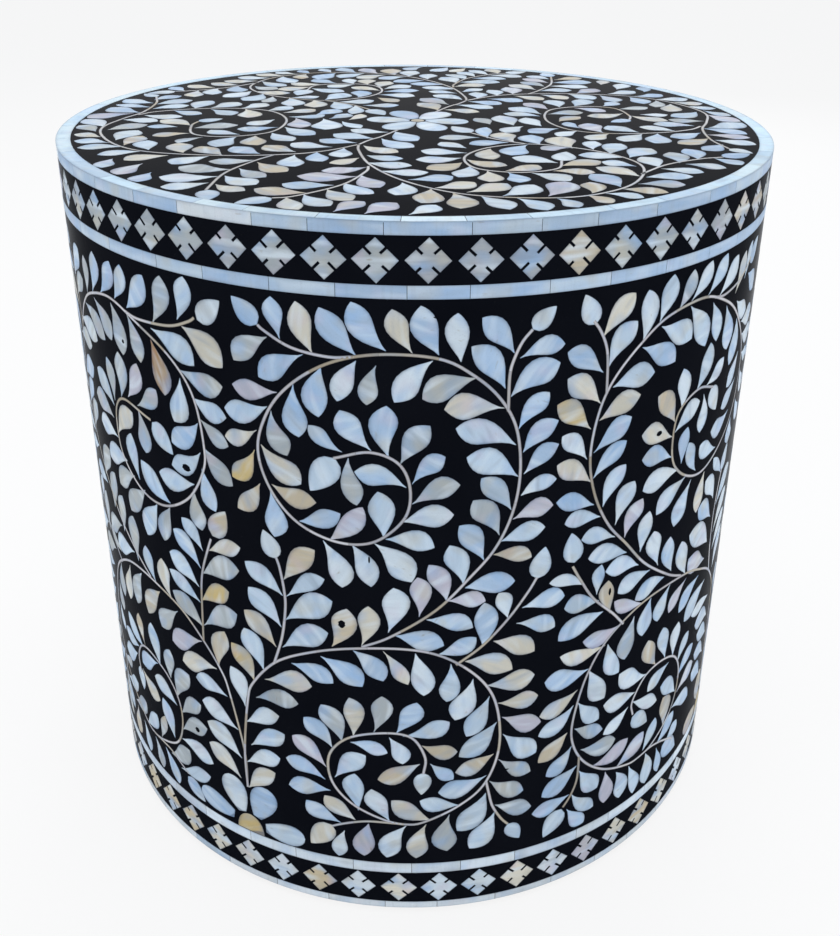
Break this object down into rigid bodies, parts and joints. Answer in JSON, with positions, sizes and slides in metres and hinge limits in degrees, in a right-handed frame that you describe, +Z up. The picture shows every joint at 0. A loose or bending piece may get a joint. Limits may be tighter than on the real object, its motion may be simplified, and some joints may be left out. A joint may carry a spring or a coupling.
{
  "type": "drum side table",
  "caption": "Round drum side table with a flat top and closed base, its black top and side laid with mother-of-pearl vine scrolls, strip bands and lozenge borders.",
  "frame": {"origin": "on the floor, under the middle of the drum", "axes": "+Z up; -Y towards the viewer of the picture; +X to their right"},
  "size_m": [0.45, 0.45, 0.453],
  "materials": {
    "mdf": "raw sanded board",
    "plywood": "raw bent plywood",
    "softwood": "planed batten",
    "black_resin": "polished black filler",
    "mother_of_pearl": "polished shell, pale with a blue cast",
    "tan_pearl": "polished shell, tan",
    "glide": "moulded pad"
  },
  "bodies": {
    "root": {"base_panel": "mdf", "bottom_edge_strips": "mother_of_pearl", "glide_1": "glide", "glide_2": "glide", "glide_3": "glide", "glide_4": "glide", "lower_line_strips": "mother_of_pearl", "lower_lozenges": "mother_of_pearl", "side_flower_buttons": "tan_pearl", "side_flower_petals": "mother_of_pearl", "side_ground": "black_resin", "skin_left": "plywood", "skin_right": "plywood", "stile_1": "softwood", "stile_2": "softwood", "stile_3": "softwood", "stile_4": "softwood", "stile_5": "softwood", "stile_6": "softwood", "stile_7": "softwood", "stile_8": "softwood", "top_board": "mdf", "top_edge_strips": "mother_of_pearl", "top_flower_button": "tan_pearl", "top_flower_petals": "mother_of_pearl", "top_ground": "black_resin", "top_rim_strips": "mother_of_pearl", "upper_line_strips": "mother_of_pearl", "upper_lozenges": "mother_of_pearl"}
  },
  "joints": []
}
